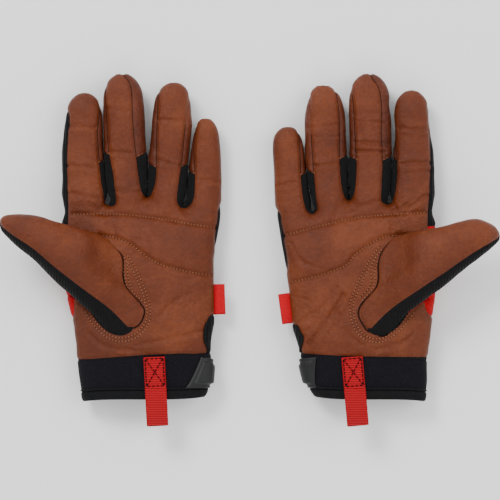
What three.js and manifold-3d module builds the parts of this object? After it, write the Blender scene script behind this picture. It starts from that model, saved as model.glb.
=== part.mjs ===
// A pair of leather-palmed work gloves, lying palm up with the fingers along +Y.
//
// Each glove is modelled in its own frame, in millimetres: +X towards the thumb, +Y towards the
// fingertips, +Z out of the palm. The left glove is that frame mirrored. Every sewn panel is a thin
// closed solid that follows the wall of a tapered tube: the hand, four finger stalls and the thumb.

import * as THREE from 'three';
import { mergeVertices } from 'three/addons/utils/BufferGeometryUtils.js';
import Module from 'manifold-3d';

const wasm = await Module();
wasm.setup();

// ---------------------------------------------------------------- driving dimensions

const WALL = 1.2; // leather or fabric with its lining
const SEAM_GAP = 0.4; // clearance between neighbouring panels
const LAP_GAP = 0.8; // clearance under a piece that laps over a curved panel
const FLEX_GAP = 1.2; // clearance where a stall hinges on the hand
const ORIGIN_SHIFT = [-0.2, 0.28, -0.045]; // brings the middle of the pair's base to the origin
const ROUNDNESS = 2.5; // exponent of the superellipse sections, 2 is an ellipse
const HEM_DEPTH = 5;
const CUFF_Y = -79; // where the leather palm ends and the cuff starts
const HEM_Y = -105;
const WRIST_REST_Z = 2.6; // height of the underside of the wrist, which lies on its strap

// Hand sections: [y, x on the little finger side, x on the thumb side, half thickness]
// Stalls: base and tip are [x, y], with the half widths at the base and along the body.
const GLOVES = {
  left: {
    centreX: -79.3,
    mirror: -1,
    hand: [
      [HEM_Y - HEM_DEPTH, -45, 44.5, 11.2],
      [CUFF_Y, -51, 48.5, 11.4],
      [-55, -51.5, 52, 13.2],
      [-30, -54, 56, 14.5],
      [0, -54.5, 59.5, 14],
      [40, -59.5, 60.5, 11.5],
    ],
    stalls: {
      index: { base: [43.9, 38], tip: [43.3, 115.5], baseWidth: 14, bodyWidth: 14.2 },
      middle: { base: [11.4, 39.5], tip: [14.4, 130.2], baseWidth: 14, bodyWidth: 14.9 },
      ring: { base: [-17.6, 38], tip: [-23.6, 123], baseWidth: 12.4, bodyWidth: 14.4 },
      little: { base: [-46.8, 32.5], tip: [-48.2, 96.5], baseWidth: 12.4, bodyWidth: 11.2 },
    },
    thumb: { tip: [105, 21.5], body: [84, 13.5], middle: [62.5, 3], root: [41, -11.5] },
    tabReach: 19,
    loopTilt: 3,
    flagTilt: -2,
  },
  right: {
    centreX: 78.1,
    mirror: 1,
    hand: [
      [HEM_Y - HEM_DEPTH, -34, 52, 11.2],
      [CUFF_Y, -42, 53, 11.4],
      [-55, -47.5, 56.5, 13.2],
      [-30, -50, 58.5, 14.5],
      [0, -54.5, 60, 14],
      [40, -60, 60, 11.5],
    ],
    stalls: {
      index: { base: [42.5, 38], tip: [41.9, 117], baseWidth: 13.8, bodyWidth: 14.3 },
      middle: { base: [10, 39.5], tip: [9.8, 130], baseWidth: 13.6, bodyWidth: 15.2 },
      ring: { base: [-18.2, 37.5], tip: [-25.2, 121.6], baseWidth: 12.4, bodyWidth: 14.4 },
      little: { base: [-47.6, 31], tip: [-50.2, 91], baseWidth: 12.4, bodyWidth: 11.2 },
    },
    thumb: { tip: [106.6, 13.5], body: [90, 9.5], middle: [67.5, 0.5], root: [42.5, -13] },
    tabReach: 13,
    loopTilt: -7,
    flagTilt: 8,
  },
};

// Half thicknesses of each stall at its base and along its body
const STALL_DEPTHS = {
  index: [11.2, 10],
  middle: [11.6, 10.5],
  ring: [11.2, 10],
  little: [10.4, 9],
};
const STALL_CAP = 0.82; // share of a stall's length where the rounded tip starts
const STALL_RISE = 4.5; // how far a fingertip curls up off the table
const HAND_STEP = 12; // degrees between the facets of the hand's panels
const CAP_ANGLE = 83; // the panels of a tip stop this many degrees round its dome

// The thumb hole in the palm, and the sections of the thumb above it
const THUMB_HOLE = { centre: [20.5, -34], across: 26, along: 16.5 };
const THUMB_SECTIONS = {
  root: { width: 24.5, depth: 11.5, z: 43 },
  middle: { width: 18.6, depth: 11.5, z: 42.5 },
  body: { width: 12.6, depth: 9.6, z: 42 },
};
const THUMB_TIP_Z = 41.5;

// Panel edges, as angles round a section in degrees: 0 is the thumb side, 90 the palm, 180 the
// little finger side and 270 the back.
const FRONT_EDGES = [38, 142];
const BACK_EDGES = [228, 312];
const HAND_FRONT = [6, 177];
const HAND_BACK = [183, 322];
const ACCENT = [324, 364];
const THUMB_FRONT = [-30, 128];

const WEBBING = { width: 15.9, thickness: 1.1, sewn: 23, loop: 27.9, opening: 6 };
const FLAG = { reach: 9.5, inside: 1.6, length: 23, thickness: 1, y: -37 };
const TAB = { thickness: 2.6, top: -81, bottom: -103.5, slant: 12 };
const STRAP = { thickness: 1.6, top: -83, bottom: -101, start: 197 }; // starts clear of the opening tab
const PAD = { thickness: 2.2, margin: 9, low: [-17, -2], high: [20, 25] };
const GUSSET_LENGTH = 9;

for (const { stalls } of Object.values(GLOVES))
  for (const [name, [baseDepth, bodyDepth]] of Object.entries(STALL_DEPTHS))
    Object.assign(stalls[name], { baseDepth, bodyDepth });

const COLOURS = {
  leather: [0x84462c, 0.55],
  fourchette: [0x7d4129, 0.55],
  knit: [0x17171a, 0.9],
  gusset: [0x17171a, 0.85],
  accent: [0xc81d25, 0.75],
  webbing: [0xcb1f28, 0.7],
  rubber: [0x38393b, 0.6],
  foam: [0x5c5c5c, 0.95],
};

// ---------------------------------------------------------------- solids from sheets

// A closed solid between two sheets of points, outer and inner, each a function of (row, column)
// in 0..1. On a ring the last column joins the first.
function sheetSolid(outer, inner, rows, columns, ring = false) {
  const across = ring ? columns : columns + 1;
  const points = [];
  const faces = [];
  for (const sheet of [outer, inner])
    for (let i = 0; i <= rows; i++)
      for (let j = 0; j < across; j++) points.push(...sheet(i / rows, j / columns).toArray());
  const at = (layer, i, j) => (layer * (rows + 1) + i) * across + (j % across);
  const quad = (a, b, c, d) => faces.push(a, b, c, a, c, d);
  for (let i = 0; i < rows; i++)
    for (let j = 0; j < columns; j++) {
      quad(at(0, i, j), at(0, i, j + 1), at(0, i + 1, j + 1), at(0, i + 1, j));
      quad(at(1, i, j), at(1, i + 1, j), at(1, i + 1, j + 1), at(1, i, j + 1));
    }
  for (let j = 0; j < columns; j++) {
    quad(at(1, 0, j), at(1, 0, j + 1), at(0, 0, j + 1), at(0, 0, j));
    quad(at(0, rows, j), at(0, rows, j + 1), at(1, rows, j + 1), at(1, rows, j));
  }
  if (!ring)
    for (let i = 0; i < rows; i++) {
      quad(at(0, i, 0), at(0, i + 1, 0), at(1, i + 1, 0), at(1, i, 0));
      quad(at(1, i, columns), at(1, i + 1, columns), at(0, i + 1, columns), at(0, i, columns));
    }
  return facingOut(new THREE.BufferGeometry()
    .setAttribute('position', new THREE.Float32BufferAttribute(points, 3))
    .setIndex(faces));
}

// Six times the volume inside a mesh, negative when its faces point inwards.
function signedVolume(geometry) {
  const position = geometry.getAttribute('position');
  const [a, b, c] = [new THREE.Vector3(), new THREE.Vector3(), new THREE.Vector3()];
  let sum = 0;
  for (let i = 0; i < geometry.index.count; i += 3) {
    a.fromBufferAttribute(position, geometry.index.getX(i));
    b.fromBufferAttribute(position, geometry.index.getX(i + 1));
    c.fromBufferAttribute(position, geometry.index.getX(i + 2));
    sum += a.dot(b.cross(c));
  }
  return sum;
}

function facingOut(geometry) {
  if (signedVolume(geometry) < 0) {
    const index = geometry.index.array;
    for (let i = 0; i < index.length; i += 3) [index[i + 1], index[i + 2]] = [index[i + 2], index[i + 1]];
  }
  geometry.computeVertexNormals();
  return geometry;
}

function toManifold(geometry) {
  const bare = geometry.clone();
  bare.deleteAttribute('normal');
  bare.deleteAttribute('uv');
  const merged = mergeVertices(bare, 1e-4);
  return new wasm.Manifold(new wasm.Mesh({
    numProp: 3,
    vertProperties: new Float32Array(merged.getAttribute('position').array),
    triVerts: new Uint32Array(merged.index.array),
  }));
}

function fromManifold(solid) {
  const mesh = solid.getMesh();
  const geometry = new THREE.BufferGeometry()
    .setAttribute('position', new THREE.Float32BufferAttribute(mesh.vertProperties, 3))
    .setIndex(Array.from(mesh.triVerts));
  geometry.computeVertexNormals();
  return geometry;
}

// ---------------------------------------------------------------- tube walls

// One axis of a superellipse section at angle a, in radians.
const superCos = (a) => Math.sign(Math.cos(a)) * Math.abs(Math.cos(a)) ** (2 / ROUNDNESS);
const superSin = (a) => Math.sign(Math.sin(a)) * Math.abs(Math.sin(a)) ** (2 / ROUNDNESS);
const mix = THREE.MathUtils.lerp;
const radians = THREE.MathUtils.degToRad;

// Value of column k of a table at height y, straight between its rows.
function tableAt(table, y, k) {
  let i = 0;
  while (i < table.length - 2 && y > table[i + 1][0]) i++;
  const share = (y - table[i][0]) / (table[i + 1][0] - table[i][0]);
  return mix(table[i][k], table[i + 1][k], share);
}

// The hand's wall at height y and angle a, inset from the outside.
function handWall(glove, y, a, inset) {
  const low = tableAt(glove.hand, y, 1);
  const high = tableAt(glove.hand, y, 2);
  const depth = tableAt(glove.hand, y, 3);
  const lift = WRIST_REST_Z * THREE.MathUtils.clamp((-40 - y) / 25, 0, 1);
  return new THREE.Vector3(
    (low + high) / 2 + ((high - low) / 2 - inset) * superCos(a),
    y,
    depth + lift + (depth - inset) * superSin(a));
}

// The centre line of a stall: a point and its direction in plan, at a share of its length.
function stallLine(stall, share) {
  const [bx, by] = stall.base;
  const [tx, ty] = stall.tip;
  const z = stall.baseDepth + 0.3 + (STALL_RISE - stall.baseDepth + stall.bodyDepth) * share ** 1.6;
  return new THREE.Vector3(mix(bx, tx, share), mix(by, ty, share), z);
}

function stallDirection(stall) {
  return new THREE.Vector2(stall.tip[0] - stall.base[0], stall.tip[1] - stall.base[1]).normalize();
}

// A stall's wall: row 0 is the base, row 1 the end of the tip.
function stallWall(stall, row, a, inset) {
  const onBody = row < 0.45;
  const dome = onBody ? 0 : radians(CAP_ANGLE) * (row - 0.45) / 0.55;
  const end = 1 - inset / 80;
  const share = onBody ? (row / 0.45) * STALL_CAP : STALL_CAP + (end - STALL_CAP) * Math.sin(dome);
  const swell = Math.min(1, share / 0.45);
  const width = (mix(stall.baseWidth, stall.bodyWidth, swell) - inset) * Math.cos(dome);
  const depth = (mix(stall.baseDepth, stall.bodyDepth, share) - inset) * Math.cos(dome);
  const d = stallDirection(stall);
  const point = stallLine(stall, share);
  return new THREE.Vector3(
    point.x + d.y * width * superCos(a),
    point.y - d.x * width * superCos(a),
    point.z + depth * superSin(a));
}

// A panel of any wall between two angles in degrees, from row 0 to row 1.
function panel(wall, [from, to], rows, options = {}) {
  const { outset = 0, thickness = WALL, step = 26 } = options;
  const columns = Math.max(2, Math.round((to - from) / step));
  const angle = (t) => radians(mix(from, to, t));
  return sheetSolid(
    (s, t) => wall(s, angle(t), -outset),
    (s, t) => wall(s, angle(t), thickness - outset),
    rows, columns);
}

// ---------------------------------------------------------------- parts of the hand

// The line where a point of the hand meets the finger stalls.
function knuckleY(glove, x) {
  const stalls = Object.values(glove.stalls);
  const nearest = stalls.reduce((best, s) =>
    Math.abs(s.base[0] - x) - s.baseWidth < Math.abs(best.base[0] - x) - best.baseWidth ? s : best);
  const d = stallDirection(nearest);
  return nearest.base[1] - (x - nearest.base[0]) * (d.x / d.y) - FLEX_GAP;
}

// A panel of the hand from height low to the knuckles or to height high.
function handPanel(glove, edges, low, high, rows, options = {}) {
  const wall = (s, a, inset) => {
    const end = high ?? knuckleY(glove, handWall(glove, 38, a, 0).x);
    return handWall(glove, mix(low, end, s), a, inset);
  };
  return panel(wall, edges, rows, { step: HAND_STEP, ...options });
}

function ellipsePrism(centre, across, along, direction, low, high) {
  const shape = new THREE.Shape();
  const turn = Math.atan2(direction.y, direction.x);
  shape.absellipse(centre[0], centre[1], along, across, 0, 2 * Math.PI, false, turn);
  return new THREE.ExtrudeGeometry(shape, { depth: high - low, bevelEnabled: false, curveSegments: 10 })
    .translate(0, 0, low);
}

function palmLeather(glove) {
  const sheet = handPanel(glove, HAND_FRONT, CUFF_Y + SEAM_GAP, null, 8);
  const { centre, across, along } = THUMB_HOLE;
  const hole = ellipsePrism(centre, across, along, thumbDirection(glove), 8, 60);
  return fromManifold(toManifold(sheet).subtract(toManifold(hole)));
}

// The foam pad sewn between the leather and the lining, a slanting band across the palm.
function palmPad(glove) {
  const edges = [58, 128];
  const wall = (s, a, inset) => {
    const share = (THREE.MathUtils.radToDeg(a) - edges[0]) / (edges[1] - edges[0]);
    const low = mix(PAD.low[1], PAD.low[0], share);
    const high = mix(PAD.high[1], PAD.high[0], share);
    return handWall(glove, mix(low, high, s), a, inset + WALL + 2 * SEAM_GAP);
  };
  return panel(wall, edges, 3, { thickness: PAD.thickness, step: HAND_STEP });
}

function cuffHem(glove) {
  const wall = (inset) => (s, t) =>
    handWall(glove, mix(HEM_Y - HEM_DEPTH, HEM_Y - SEAM_GAP, s), 2 * Math.PI * t, inset);
  return sheetSolid(wall(-0.4), wall(WALL + 0.4), 1, 28, true);
}

// Where the side of a stall lies at height y: side 1 is the thumb side.
function stallSide(stall, y, side) {
  const share = (y - stall.base[1]) / (stall.tip[1] - stall.base[1]);
  const width = mix(stall.baseWidth, stall.bodyWidth, Math.min(1, share / 0.45));
  return mix(stall.base[0], stall.tip[0], share) + side * width;
}

// A stretch gusset standing in the crotch between two stalls.
function crotchGusset(thumbward, outward) {
  const low = Math.max(thumbward.base[1], outward.base[1]) - FLEX_GAP / 2;
  const height = 2 * Math.min(thumbward.baseDepth, outward.baseDepth) - 6;
  const side = (stall, sign) => (s, t) => {
    const y = low + GUSSET_LENGTH * s;
    return new THREE.Vector3(stallSide(stall, y, sign) + sign * 0.5, y, 3 + height * t);
  };
  return sheetSolid(side(thumbward, -1), side(outward, 1), 1, 1);
}

// ---------------------------------------------------------------- thumb

function thumbDirection(glove) {
  const { root, body } = glove.thumb;
  return new THREE.Vector2(body[0] - root[0], body[1] - root[1]).normalize();
}

// Thumb sections from the hole to the tip: centre, half width, half depth and how far the section
// has turned up from lying in the palm, 0 to 1.
function thumbStations(glove) {
  const holeZ = handWall(glove, THUMB_HOLE.centre[1], Math.PI / 2, 0).z + LAP_GAP;
  const station = ([x, y], z, width, depth, turn) =>
    ({ centre: new THREE.Vector3(x, y, z), width, depth, turn });
  const { root, middle, body } = THUMB_SECTIONS;
  const [hx, hy] = THUMB_HOLE.centre;
  return [
    station([hx, hy], holeZ, THUMB_HOLE.across - 0.6, THUMB_HOLE.along - 0.6, 0),
    station([mix(hx, glove.thumb.root[0], 0.42), mix(hy, glove.thumb.root[1], 0.42)],
      mix(holeZ, root.z, 0.55), mix(THUMB_HOLE.across, root.width, 0.45), 14.5, 0.5),
    station(glove.thumb.root, root.z, root.width, root.depth, 1),
    station(glove.thumb.middle, middle.z, middle.width, middle.depth, 1),
    station(glove.thumb.body, body.z, body.width, body.depth, 1),
  ];
}

// The thumb's wall: rows 0 to 0.6 run through the stations, the rest round the tip.
function thumbWall(glove, row, a, inset) {
  const stations = thumbStations(glove);
  const d = thumbDirection(glove);
  const domed = row > 0.6;
  const dome = domed ? radians(CAP_ANGLE) * (row - 0.6) / 0.4 : 0;
  const last = stations.length - 1;
  const place = domed ? last : (row / 0.6) * last;
  const i = Math.min(Math.floor(place), last - 1);
  const blend = (key) => mix(stations[i][key], stations[i + 1][key], place - i);
  const centre = stations[i].centre.clone().lerp(stations[i + 1].centre, place - i);
  if (domed) {
    const tip = new THREE.Vector3(...glove.thumb.tip, THUMB_TIP_Z);
    const reach = (tip.distanceTo(centre) - inset) * Math.sin(dome);
    centre.addScaledVector(tip.sub(centre).normalize(), reach);
  }
  const width = (blend('width') - inset) * Math.cos(dome);
  const depth = (blend('depth') - inset) * Math.cos(dome);
  const turn = blend('turn') * Math.PI / 2;
  const up = new THREE.Vector3(-d.x * Math.cos(turn), -d.y * Math.cos(turn), Math.sin(turn));
  const side = new THREE.Vector3(-d.y, d.x, 0);
  return centre
    .addScaledVector(side, width * superCos(a))
    .addScaledVector(up, depth * superSin(a));
}

// ---------------------------------------------------------------- closure, webbing and label

// The moulded tab that laps from the edge of the wrist over the palm side of the cuff, its leading
// edge slanted.
function closureTab(glove) {
  const end = tabAngle(glove);
  const wall = (s, a, inset) => {
    const share = (THREE.MathUtils.radToDeg(a) - end) / (176 - end);
    const top = TAB.top - TAB.slant * Math.max(0, 0.5 - share);
    return handWall(glove, mix(TAB.bottom, top, s), a, inset);
  };
  const { thickness } = TAB;
  return panel(wall, [end, 176], 3, { outset: thickness + LAP_GAP, thickness, step: HAND_STEP });
}

// The angle round the wrist at which the tab's leading edge lies.
function tabAngle(glove) {
  const low = tableAt(glove.hand, TAB.bottom, 1);
  const high = tableAt(glove.hand, TAB.bottom, 2);
  const share = 1 - 2 * glove.tabReach / (high - low);
  return 180 - THREE.MathUtils.radToDeg(Math.acos(share ** (ROUNDNESS / 2)));
}

function closureStrap(glove) {
  const wall = (s, a, inset) => handWall(glove, mix(STRAP.bottom, STRAP.top, s), a, inset);
  const { thickness } = STRAP;
  return panel(wall, [STRAP.start, 300], 2, { outset: thickness + LAP_GAP, thickness, step: HAND_STEP });
}

// Both webbing pieces start from this place on the palm side of the cuff.
function webbingPlace(glove) {
  const x = (tableAt(glove.hand, CUFF_Y, 1) + tableAt(glove.hand, CUFF_Y, 2)) / 2 - 6;
  return { x, y: CUFF_Y - 0.4, z: handWall(glove, CUFF_Y - 12, Math.PI / 2, 0).z + 0.9 };
}

// The doubled end of the webbing, sewn flat on the cuff.
function loopAnchor(glove) {
  const { x, y, z } = webbingPlace(glove);
  const length = WEBBING.sewn - FLEX_GAP; // ends clear of the swinging loop
  return new THREE.BoxGeometry(WEBBING.width, length, 2 * WEBBING.thickness)
    .translate(x, y - length / 2, z + WEBBING.thickness);
}

// The open loop of webbing that hangs past the hem: seen along X it is a drop shape, pinched where
// it is sewn and open at the far end.
function pullLoop(glove) {
  const { x, y, z } = webbingPlace(glove);
  const wall = (inset) => (s, t) => {
    const turn = 2 * Math.PI * t;
    const reach = (1 - Math.cos(turn)) / 2;
    const height = (WEBBING.opening / 2 + WEBBING.thickness - inset) * Math.sin(turn) * Math.sqrt(reach);
    const along = mix(1.6 * inset, WEBBING.loop - inset, reach);
    return new THREE.Vector3(
      x + (s - 0.5) * WEBBING.width,
      y - WEBBING.sewn - SEAM_GAP - along,
      z + WEBBING.thickness + height);
  };
  return sheetSolid(wall(0), wall(WEBBING.thickness), 1, 20, true);
}

function labelFlag(glove) {
  const edge = handWall(glove, FLAG.y, Math.PI, 0);
  return new THREE.BoxGeometry(FLAG.reach, FLAG.length, FLAG.thickness)
    .translate(FLAG.inside - FLAG.reach / 2, 0, 0)
    .rotateZ(radians(glove.flagTilt))
    .translate(edge.x, edge.y, edge.z);
}

// ---------------------------------------------------------------- assembly

function material([colour, roughness]) {
  return new THREE.MeshStandardMaterial({ color: colour, roughness, metalness: 0 });
}

// The panels of one finger stall. The index stall's back wraps its outer side, and the little
// stall's leather front wraps its own.
function stallPanels(name, stall) {
  const wall = (s, a, inset) => stallWall(stall, s, a, inset);
  const rows = 8;
  const gap = 2; // degrees between panels
  const [frontLow, frontHigh] = FRONT_EDGES;
  const [backLow, backHigh] = BACK_EDGES;
  const front = [frontLow, name === 'little' ? backLow - gap : frontHigh];
  const back = [backLow, name === 'index' ? 360 + frontLow - gap : backHigh];
  const parts = [
    [`${name}_front`, panel(wall, front, rows), COLOURS.leather],
    [`${name}_back`, panel(wall, back, rows), COLOURS.knit],
  ];
  if (name !== 'index')
    parts.push([`${name}_fourchette_thumb_side`,
      panel(wall, [backHigh + gap, 360 + frontLow - gap], rows), COLOURS.fourchette]);
  if (name !== 'little')
    parts.push([`${name}_fourchette_outer`,
      panel(wall, [frontHigh + gap, backLow - gap], rows), COLOURS.fourchette]);
  return parts;
}

function gloveParts(glove) {
  const { index, middle, ring, little } = glove.stalls;
  const thumb = (s, a, inset) => thumbWall(glove, s, a, inset);
  const cuffLow = HEM_Y + SEAM_GAP / 2;
  return [
    ['palm_leather', palmLeather(glove), COLOURS.leather],
    ['palm_pad', palmPad(glove), COLOURS.foam],
    ['back_panel', handPanel(glove, HAND_BACK, cuffLow, null, 7), COLOURS.knit],
    ['thumb_side_panel', handPanel(glove, ACCENT, CUFF_Y + 2, null, 6), COLOURS.accent],
    ['cuff_band', handPanel(glove, [12, 168], cuffLow, CUFF_Y - SEAM_GAP, 1), COLOURS.knit],
    ['cuff_hem', cuffHem(glove), COLOURS.knit],
    ['index_middle_gusset', crotchGusset(index, middle), COLOURS.gusset],
    ['middle_ring_gusset', crotchGusset(middle, ring), COLOURS.gusset],
    ['ring_little_gusset', crotchGusset(ring, little), COLOURS.gusset],
    ['thumb_front', panel(thumb, THUMB_FRONT, 12), COLOURS.leather],
    ['thumb_back', panel(thumb, [THUMB_FRONT[1] + 2, 358 + THUMB_FRONT[0]], 12), COLOURS.knit],
    ['closure_tab', closureTab(glove), COLOURS.rubber],
    ['closure_strap', closureStrap(glove), COLOURS.knit],
    ['loop_anchor', loopAnchor(glove), COLOURS.webbing],
    ['pull_loop', pullLoop(glove), COLOURS.webbing],
    ['label_flag', labelFlag(glove), COLOURS.accent],
    ...Object.entries(glove.stalls).flatMap(([name, stall]) => stallPanels(name, stall)),
  ];
}

const pair = new THREE.Group();
for (const [side, glove] of Object.entries(GLOVES)) {
  const group = new THREE.Group();
  group.position.x = glove.centreX;
  group.scale.x = glove.mirror;
  for (const [name, geometry, colour] of gloveParts(glove)) {
    const mesh = new THREE.Mesh(geometry, material(colour));
    mesh.name = `${side}_${name}`;
    group.add(mesh);
  }
  pair.add(group);
}
pair.position.set(...ORIGIN_SHIFT);

export default pair;
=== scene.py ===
"""A pair of leather-palmed work gloves, lying palm up on a pale floor.

Shapes are worked out in each glove's own frame, in millimetres: +X towards the thumb, +Y towards the
fingertips, +Z out of the palm. The hand and each finger are implicit shapes that are turned into a
mesh, then cut into sewn panels along their seam lines.
"""
import math

import bpy
import numpy as np
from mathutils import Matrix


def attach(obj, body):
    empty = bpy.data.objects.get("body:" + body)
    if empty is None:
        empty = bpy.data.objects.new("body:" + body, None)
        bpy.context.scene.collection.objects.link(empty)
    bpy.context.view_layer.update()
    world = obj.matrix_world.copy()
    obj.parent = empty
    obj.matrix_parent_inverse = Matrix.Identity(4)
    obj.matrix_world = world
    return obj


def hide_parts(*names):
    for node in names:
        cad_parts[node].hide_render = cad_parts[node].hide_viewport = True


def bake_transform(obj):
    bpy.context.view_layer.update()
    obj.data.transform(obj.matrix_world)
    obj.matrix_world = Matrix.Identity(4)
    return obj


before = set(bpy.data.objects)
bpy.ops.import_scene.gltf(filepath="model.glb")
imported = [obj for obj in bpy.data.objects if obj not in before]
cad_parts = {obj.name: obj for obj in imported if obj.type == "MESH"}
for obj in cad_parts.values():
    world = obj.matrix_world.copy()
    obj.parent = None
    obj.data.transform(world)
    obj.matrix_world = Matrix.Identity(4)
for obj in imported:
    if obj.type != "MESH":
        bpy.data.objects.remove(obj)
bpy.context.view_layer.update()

import openvdb
from mathutils import Vector
from mathutils.bvhtree import BVHTree

SHIFT = np.array([-0.2, 0.28, -0.045])  # from the gloves' common frame to the row frame, mm
MM = 0.001
FINE = 0.65  # grid step of the fingers, mm
VOXEL = 0.9
ROOT_BLEND = 3.0  # how softly a finger joins the hand, mm
BLEND_LENGTH = 17.0  # how far along a finger a bend from the hand is worked out; no bend is applied
CUFF_Y = -79.5
HEM_TOP = -104.5
HEM_BOTTOM = -110.5
HEM_SLANT = 1.6  # how much lower the hem sits at the thumb side
TABLE_GAP = 0.1  # lowest the gloves reach above the floor
HAND_POWER = 2.7  # how square the hand's section is: 2 is an ellipse
FINGER_POWER = 2.35
CUFF_POWER = 2.6
WEB_ROUNDING = 14.0
HAND_CUT = 38.0  # how far into the hand a finger's shape runs
FOURCHETTE_SLANT = 0.55  # rise of a fourchette's lower edge for each millimetre across the finger
FOURCHETTE_MIDDLE = 12.0
CAMERA_HEIGHT = 3.02  # metres, nearly 3 m above the gloves
SENSOR_WIDTH = 36
VIEW_WIDTH = 0.37  # width of the floor that the camera sees, metres
WEBBING = dict(width=15.9, top=-79.2, patch=25.0, loop_start=22.6, loop=28.6)

# Hand rows are (y, x on the little finger side, x on the thumb side). A finger's tip is (x, y).
# "web" gives the y of the crotch at each x across the knuckles. "leather" is the outline of the one
# leather sheet that makes the palm and the finger fronts; where it runs outside the glove, the
# leather wraps round the edge. "split" is where each finger takes over from the hand, and "meet" is
# the y up to which neighbours touch, from the little finger on.
LEFT = dict(
    name="left", centre=-79.3, mirror=-1,
    hand=[(-112, -44, 43.5), (-99, -49.5, 46.5), (-81, -50.5, 48.7), (-68, -50.5, 49.6),
          (-54, -53, 51.5), (-46, -52.5, 54), (-32, -52.7, 56.8), (-6, -52.9, 59.5),
          (8, -55.2, 60.1), (21, -57.4, 60.5), (50, -58.8, 60.5)],
    web=[(-60, 40), (-31, 32), (-4, 40), (24, 34), (60, 30)],
    fingers=dict(
        index=dict(tip=(43.3, 115.8), split=45, cap=18.5,
                   rows=[(5, 30, 60.5), (38, 28.8, 60.5), (78, 29.8, 59.8), (88, 29.6, 59),
                         (101, 30.2, 56.8)]),
        middle=dict(tip=(15, 130.6), split=49, cap=19,
                    rows=[(5, -2, 24), (38, -1, 23.5), (53, -2, 25.5), (70, -2.9, 28.8),
                          (92, -1.6, 29.3), (110, 0, 29.2)]),
        ring=dict(tip=(-23.1, 124), split=46, cap=18,
                  rows=[(5, -28, -5), (36, -27.5, -5.8), (52, -30.5, -5.8), (70, -34.2, -4.6),
                        (92, -36.4, -6.8), (108, -35.6, -8.8)]),
        little=dict(tip=(-46.8, 97.3), split=41, cap=15.5,
                    rows=[(0, -57, -36), (35, -58.3, -35.5), (52, -58.8, -35.8), (70, -57.9, -35.2),
                          (87, -56.4, -37.9)])),
    leather=[(64, -81.5), (64, -54), (56.5, -53.5), (52.4, -50), (51, -43), (51, -36), (52.4, -27),
             (56, -5), (55.5, 21), (56, 50), (56, 80), (54.8, 100), (62, 108), (57, 122), (35, 121),
             (31.5, 107), (33.4, 87), (32, 65), (29.5, 43), (27.6, 35.5), (24, 32.6), (20, 35.5),
             (21.8, 55), (24.8, 70.5), (26.5, 95), (27.6, 118), (27, 133), (16, 136), (14.8, 130),
             (8.7, 120.5), (7.3, 96), (6, 80), (3, 56), (0.5, 43), (-3.8, 39.2), (-6.8, 42.5),
             (-9.8, 55), (-10.5, 86), (-11.6, 114), (-12, 128), (-34, 128), (-35, 112.5),
             (-32, 95.5), (-28.4, 60), (-25.5, 37), (-30.5, 31), (-37.4, 37.5), (-38.6, 57),
             (-37.9, 73), (-39.4, 90), (-41, 101), (-67, 101), (-66, 46), (-57.6, 32), (-55.8, 22),
             (-54.3, 9), (-54.6, 1), (-60, -6), (-66, -20), (-66, -47), (-51.2, -48.2),
             (-46.6, -57.5), (-46, -66.5), (-47.5, -76.5), (-28, -76.8), (0, -78), (47, -81.5)],
    fourchette_start=dict(index=64, middle=70, ring=62, little=58),
    meet=[65, 72, 74],
    upper_row=[(51.7, 26.2), (16, 26), (-11, 23), (-38, 18.5), (-54, 16.3)],
    lower_row=[(32.5, 10.5), (23, 9.6), (10.5, 5.2), (-1.6, -3.7), (-12.7, -10.4), (-30.5, -15.5),
               (-50.5, -19.2)],
    hole_outer=[(12.5, -4.5), (5, -17), (-1.6, -32), (-4.6, -44.5), (-3, -55), (5, -63.6),
                (16, -66.6), (26.5, -63), (35.7, -54), (41.5, -44.5)],
    hole_inner=[(12.5, -8), (11.7, -20.7), (8, -32), (-1.6, -40.7)],
    thumb=dict(
        upper=[(21.3, 2.2), (26, 7.5), (31.7, 11.1), (45, 15.5), (62.8, 20.7), (79, 25.2), (92, 26),
               (101, 24.8), (105, 20.8)],
        lower=[(27.2, -59.2), (36, -48), (51, -35), (66.4, -20.8), (80, -7), (92.4, 3), (99, 9),
               (103.5, 14.5), (105, 20.8)],
        base=[(21.3, 2.2), (14.6, -5.6), (13.9, -20.7), (10.6, -29.6), (1, -40), (-1.6, -46),
              (1.3, -54), (8, -59), (19.8, -63), (27.2, -59.2)],
        gusset=[(6, -57), (9, -61), (16, -63.6), (24.5, -61.3), (32, -55), (38, -47), (45, -40),
                (56, -34), (40, -36), (20, -48)]),
    creases=[([(57, 62), (36, 60)], 0.5, 2.2), ([(24, 72), (7, 71)], 0.4, 2.2),
             ([(-8, 66), (-29, 62)], 0.4, 2), ([(-40, 52), (-57, 50)], 0.35, 2),
             ([(57, 42), (33, 38)], 0.5, 2.6), ([(25, 44), (2, 42)], 0.4, 2.4),
             ([(26, 104), (8, 101)], 0.35, 2), ([(54, 92), (35, 90)], 0.35, 2),
             ([(-12, 96), (-33, 94)], 0.35, 2), ([(40, 34), (24, 21), (18, 4)], 0.4, 3),
             ([(-20, 30), (-30, 8), (-33, -8)], 0.35, 3),
             ([(-52, -28), (-30, -34), (-12, -50)], 0.5, 3),
             ([(-46, -60), (-20, -66), (6, -71)], 0.35, 3),
             ([(40, -62), (25, -72), (0, -75)], 0.4, 2.4)],
    tab=dict(top=7.7, bottom=17.5), loop_tilt=3, loop_x=-8.6, flag_tilt=-2, flag_y=-37,
)
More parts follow.
